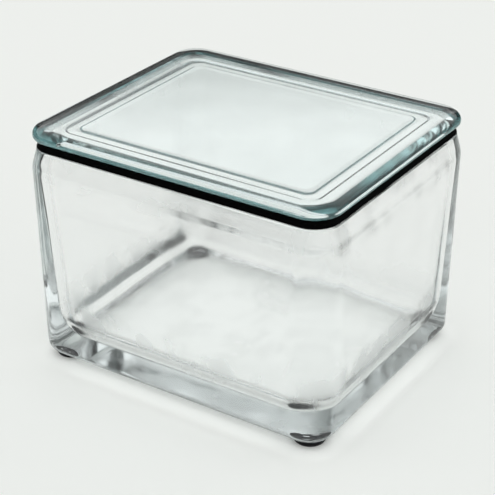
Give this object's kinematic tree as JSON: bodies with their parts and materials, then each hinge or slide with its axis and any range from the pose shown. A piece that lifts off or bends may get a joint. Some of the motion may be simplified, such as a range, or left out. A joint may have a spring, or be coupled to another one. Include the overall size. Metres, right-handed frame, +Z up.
{
  "type": "rectangular glass dish with lid",
  "caption": "Rectangular pressed-glass laboratory dish with thick walls and base, a lift-off tinted glass lid, a black rubber sealing ring and small rubber bumper feet.",
  "frame": {"origin": "on the table, midway between the four feet, under the middle of the dish", "axes": "+Z up out of the mouth, +X along the long side, front at -Y"},
  "size_m": [0.125, 0.1042, 0.0924],
  "materials": {
    "clear_glass": "clear pressed glass with slightly wavy surfaces",
    "tinted_glass": "pale blue-green pressed glass, fire polished",
    "gasket_rubber": "matt black solid rubber",
    "foot_rubber": "satin black moulded rubber",
    "adhesive": "dark grey pressure-sensitive adhesive, partly wetted on to the glass"
  },
  "bodies": {
    "dish": {"jar": "clear_glass", "foot_front_left": "foot_rubber", "foot_front_right": "foot_rubber", "foot_back_left": "foot_rubber", "foot_back_right": "foot_rubber", "foot_adhesive_front_left": "adhesive", "foot_adhesive_front_right": "adhesive", "foot_adhesive_back_left": "adhesive", "foot_adhesive_back_right": "adhesive"},
    "ring": {"gasket": "gasket_rubber"},
    "cover": {"lid": "tinted_glass"}
  },
  "joints": [
    {"name": "gasket_lift", "type": "slide", "parent": "dish", "child": "ring", "axis": [0, 0, 1], "range_m": [0, 0.04]},
    {"name": "lid_lift", "type": "slide", "parent": "ring", "child": "cover", "axis": [0, 0, 1], "range_m": [0, 0.12]}
  ]
}
